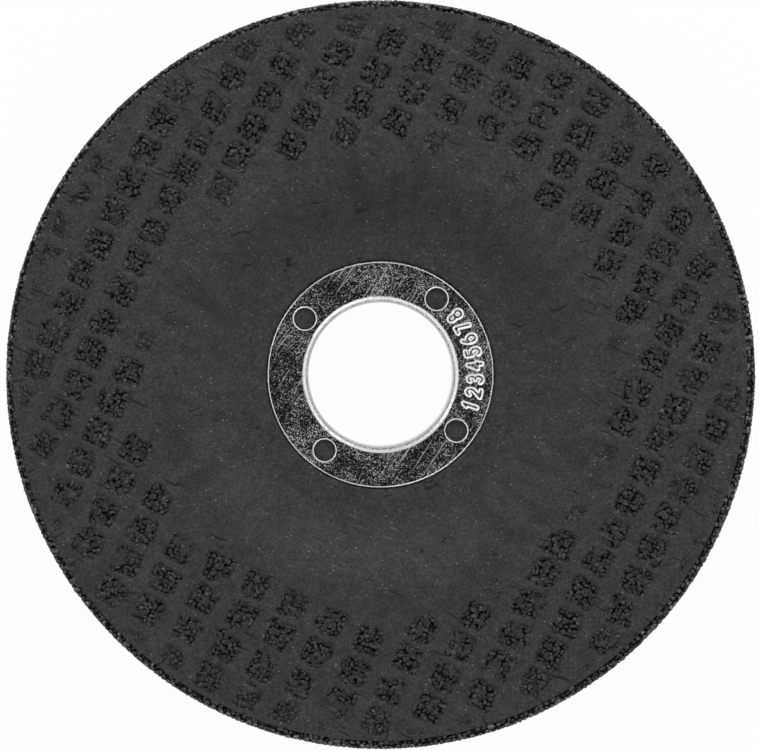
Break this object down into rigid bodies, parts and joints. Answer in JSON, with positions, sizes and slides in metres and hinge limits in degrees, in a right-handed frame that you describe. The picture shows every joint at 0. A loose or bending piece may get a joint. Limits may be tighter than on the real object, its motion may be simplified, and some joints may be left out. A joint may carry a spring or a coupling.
{
  "type": "grinding disc",
  "caption": "Round bonded abrasive grinding disc with a depressed centre, a dark meshed facing on the recessed side and a pressed steel ring in its spindle bore.",
  "frame": {"origin": "on the axis of the bore, in the plane of the hub's back face, which the disc lies on", "axes": "+Z along the bore axis, from the hub's back face towards the recessed face; +X towards the right of the reference view and +Y towards its top"},
  "size_m": [0.115, 0.115, 0.0106],
  "materials": {
    "bonded_grain": "matte",
    "facing": "satin",
    "ring_steel": "satin"
  },
  "bodies": {
    "root": {"abrasive_body": "bonded_grain", "facing_sheet": "facing", "centre_ring": "ring_steel"}
  },
  "joints": []
}
